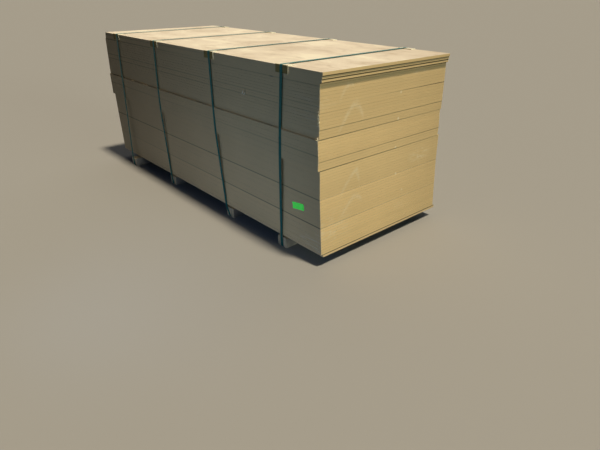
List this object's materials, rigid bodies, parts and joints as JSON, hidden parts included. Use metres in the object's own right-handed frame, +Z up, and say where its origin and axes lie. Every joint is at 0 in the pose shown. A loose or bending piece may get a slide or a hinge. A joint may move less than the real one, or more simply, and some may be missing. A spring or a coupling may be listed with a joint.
{
  "type": "strapped pack of fibreboard sheets",
  "caption": "Strapped pack of full-size fibreboard sheets lying flat on cross bearers, with cardboard edge protectors under the straps.",
  "frame": {"origin": "centre of the pack's footprint on the floor, under the bearers", "axes": "+X along the boards, +Y from the near long side to the far one, +Z up"},
  "size_m": [3.088, 1.2956, 1.2541],
  "materials": {
    "boards": "raw sanded fibreboard, pale tan faces and darker sawn edges",
    "base_board": "raw fibreboard, a little darker than the boards above",
    "bearers": "sawn board strips glued side by side",
    "straps": "embossed dark green polyester strap",
    "edge_protectors": "laminated brown paperboard angle with paler cut ends"
  },
  "bodies": {
    "root": {"base_board": "base_board", "lift_1": "boards", "lift_2": "boards", "lift_3": "boards", "lift_4": "boards", "lift_5": "boards", "lift_6": "boards", "lift_7": "boards", "lift_8": "boards", "top_boards": "boards", "bearer_1": "bearers", "bearer_2": "bearers", "bearer_3": "bearers", "bearer_4": "bearers", "strap_1": "straps", "strap_2": "straps", "strap_3": "straps", "strap_4": "straps", "edge_protector_near_1": "edge_protectors", "edge_protector_near_2": "edge_protectors", "edge_protector_near_3": "edge_protectors", "edge_protector_near_4": "edge_protectors", "edge_protector_far_1": "edge_protectors", "edge_protector_far_2": "edge_protectors", "edge_protector_far_3": "edge_protectors", "edge_protector_far_4": "edge_protectors"}
  },
  "joints": []
}
